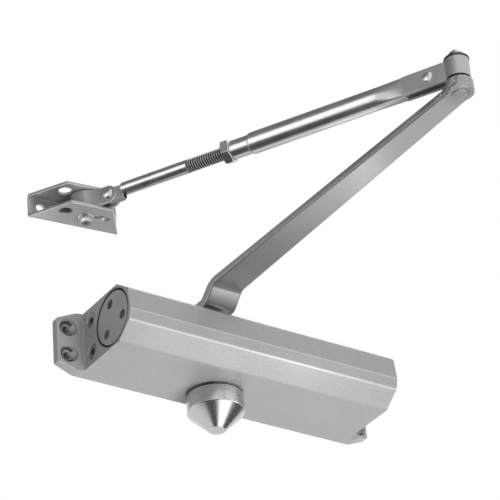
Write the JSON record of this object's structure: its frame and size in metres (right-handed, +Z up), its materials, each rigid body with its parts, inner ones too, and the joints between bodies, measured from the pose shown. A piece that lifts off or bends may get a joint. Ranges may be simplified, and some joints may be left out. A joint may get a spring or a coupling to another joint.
{
  "type": "hydraulic door closer",
  "caption": "Surface-mounted hydraulic door closer: rack-and-pinion body with a spindle, cranked main lever, adjustable forearm and pivoting frame shoe; shuts a door slowly.",
  "frame": {"origin": "centre of the four door-screw holes, in the plane of the mounting face", "axes": "+X along the body away from the regulating valves, +Y out of the mounting face into the door, +Z up along the spindle"},
  "size_m": [0.2619, 0.2779, 0.1163],
  "materials": {
    "body_paint": "cast alloy under fine-grained metallic silver paint",
    "lever_paint": "forged steel under satin silver paint",
    "shoe_paint": "pressed sheet steel under satin silver paint",
    "zinc_plate": "bright zinc-plated steel",
    "cap_metal": "turned and polished aluminium",
    "machined_steel": "machined steel, oiled",
    "spring_steel": "shot-peened spring wire",
    "bearing_bronze": "plain bronze",
    "seal_rubber": "black nitrile rubber"
  },
  "bodies": {
    "housing": {"closer_body": "body_paint", "left_end_plug": "body_paint", "right_end_plug": "body_paint", "left_plug_seal": "seal_rubber", "right_plug_seal": "seal_rubber", "return_spring": "spring_steel", "upper_bearing_nut": "zinc_plate", "lower_bearing_nut": "zinc_plate", "upper_bearing": "bearing_bronze", "lower_bearing": "bearing_bronze", "upper_shaft_seal": "seal_rubber", "lower_shaft_seal": "seal_rubber", "spindle_cap": "cap_metal"},
    "spindle_lever": {"pinion_shaft": "machined_steel", "main_lever": "lever_paint", "lever_washer": "zinc_plate", "lever_screw": "zinc_plate", "elbow_pin": "zinc_plate", "lower_elbow_washer": "zinc_plate", "upper_elbow_washer": "zinc_plate"},
    "piston_body": {"piston": "machined_steel", "check_valve_seat": "machined_steel"},
    "check_ball_body": {"check_ball": "machined_steel"},
    "closing_valve_body": {"closing_valve": "machined_steel", "closing_valve_seal": "seal_rubber"},
    "latching_valve_body": {"latching_valve": "machined_steel", "latching_valve_seal": "seal_rubber"},
    "forearm": {"forearm_tube": "zinc_plate", "elbow_bush": "bearing_bronze", "strap_rivet": "zinc_plate"},
    "rod": {"adjusting_rod": "zinc_plate"},
    "lock_nut_body": {"lock_nut": "zinc_plate"},
    "link": {"shoe_link": "shoe_paint", "link_rivet": "zinc_plate"},
    "shoe": {"shoe_bracket": "shoe_paint", "pivot_sleeve": "zinc_plate", "pivot_washer": "zinc_plate", "pivot_screw": "zinc_plate", "pivot_nut": "zinc_plate"}
  },
  "joints": [
    {"name": "arm_swing", "type": "hinge", "parent": "housing", "child": "spindle_lever", "pos_m": [-0.0108, -0.0183, 0], "axis": [0, 0, 1], "range_deg": [0, 170], "stiffness_Nm_per_rad": 5.7, "springref_deg": -22.92},
    {"name": "piston_slide", "type": "slide", "parent": "housing", "child": "piston_body", "axis": [1, 0, 0], "range_m": [0, 0.02968], "deforming": ["return_spring"]},
    {"name": "check_ball_lift", "type": "slide", "parent": "piston_body", "child": "check_ball_body", "axis": [1, 0, 0], "range_m": [0, 0.002]},
    {"name": "closing_valve_turn", "type": "hinge", "parent": "housing", "child": "closing_valve_body", "pos_m": [-0.0947, -0.0173, 0.0104], "axis": [1, 0, 0], "range_deg": [-180, 180]},
    {"name": "latching_valve_turn", "type": "hinge", "parent": "housing", "child": "latching_valve_body", "pos_m": [-0.0947, -0.0173, -0.0104], "axis": [1, 0, 0], "range_deg": [-180, 180]},
    {"name": "elbow_fold", "type": "hinge", "parent": "spindle_lever", "child": "forearm", "pos_m": [-0.0086, -0.27009, 0.0595], "axis": [0, 0, 1], "range_deg": [-12, 150]},
    {"name": "rod_adjust", "type": "slide", "parent": "forearm", "child": "rod", "axis": [-0.4756, 0.8796, 0], "range_m": [-0.02, 0.02]},
    {"name": "locknut_turn", "type": "hinge", "parent": "forearm", "child": "lock_nut_body", "pos_m": [-0.07683, -0.1439, 0.0595], "axis": [-0.4756, 0.8796, 0], "continuous": true},
    {"name": "link_tilt", "type": "hinge", "parent": "rod", "child": "link", "pos_m": [-0.11372, -0.07569, 0.0575], "axis": [-0.8796, -0.4756, 0], "range_deg": [-15, 15]},
    {"name": "shoe_swivel", "type": "hinge", "parent": "link", "child": "shoe", "pos_m": [-0.12185, -0.06065, 0.0575], "axis": [0, 0, 1], "range_deg": [-40, 110]}
  ],
  "couplings": [
    {"joint": "piston_slide", "follows": "arm_swing", "m_per_rad": 0.01}
  ]
}
